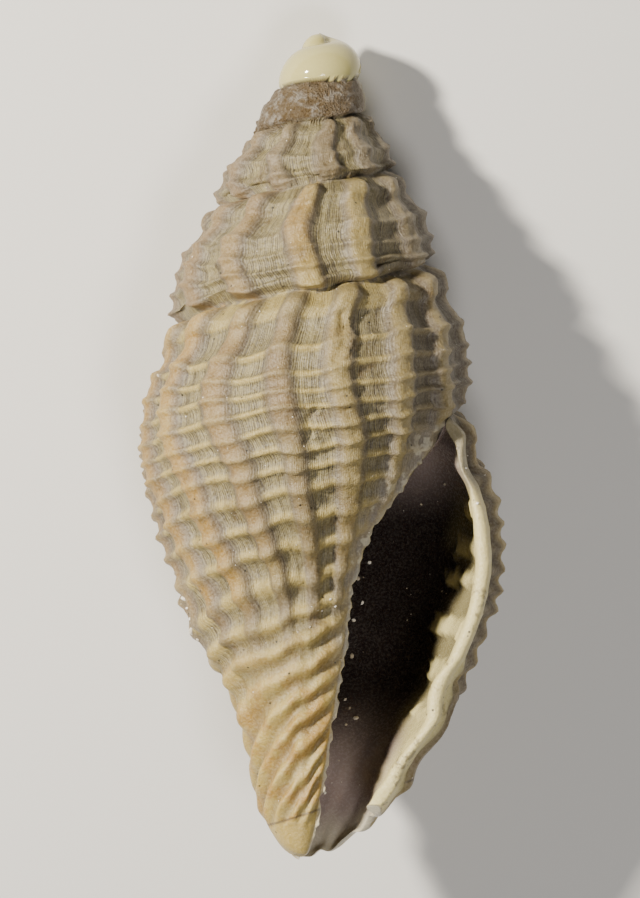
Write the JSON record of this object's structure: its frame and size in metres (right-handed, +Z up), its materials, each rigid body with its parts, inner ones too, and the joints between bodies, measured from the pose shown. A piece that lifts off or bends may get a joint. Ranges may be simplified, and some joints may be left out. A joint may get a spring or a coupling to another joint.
{
  "type": "mitromorpha fenestrata shell",
  "caption": "Small spindle-shaped sea snail shell with latticed ribs and cords, lying on its back with the long narrow aperture and open canal facing up.",
  "frame": {"origin": "under the middle of the shell's box, on the surface that it lies on", "axes": "+Y points to the apex, +Z points up out of the aperture, +X points to the outer lip's side"},
  "size_m": [0.0022, 0.005, 0.0019],
  "materials": {
    "shell_lime": "cream and tan lime with a soft gloss, latticed outside, smooth and dark purple-brown inside the aperture"
  },
  "bodies": {
    "root": {"shell": "shell_lime"}
  },
  "joints": []
}
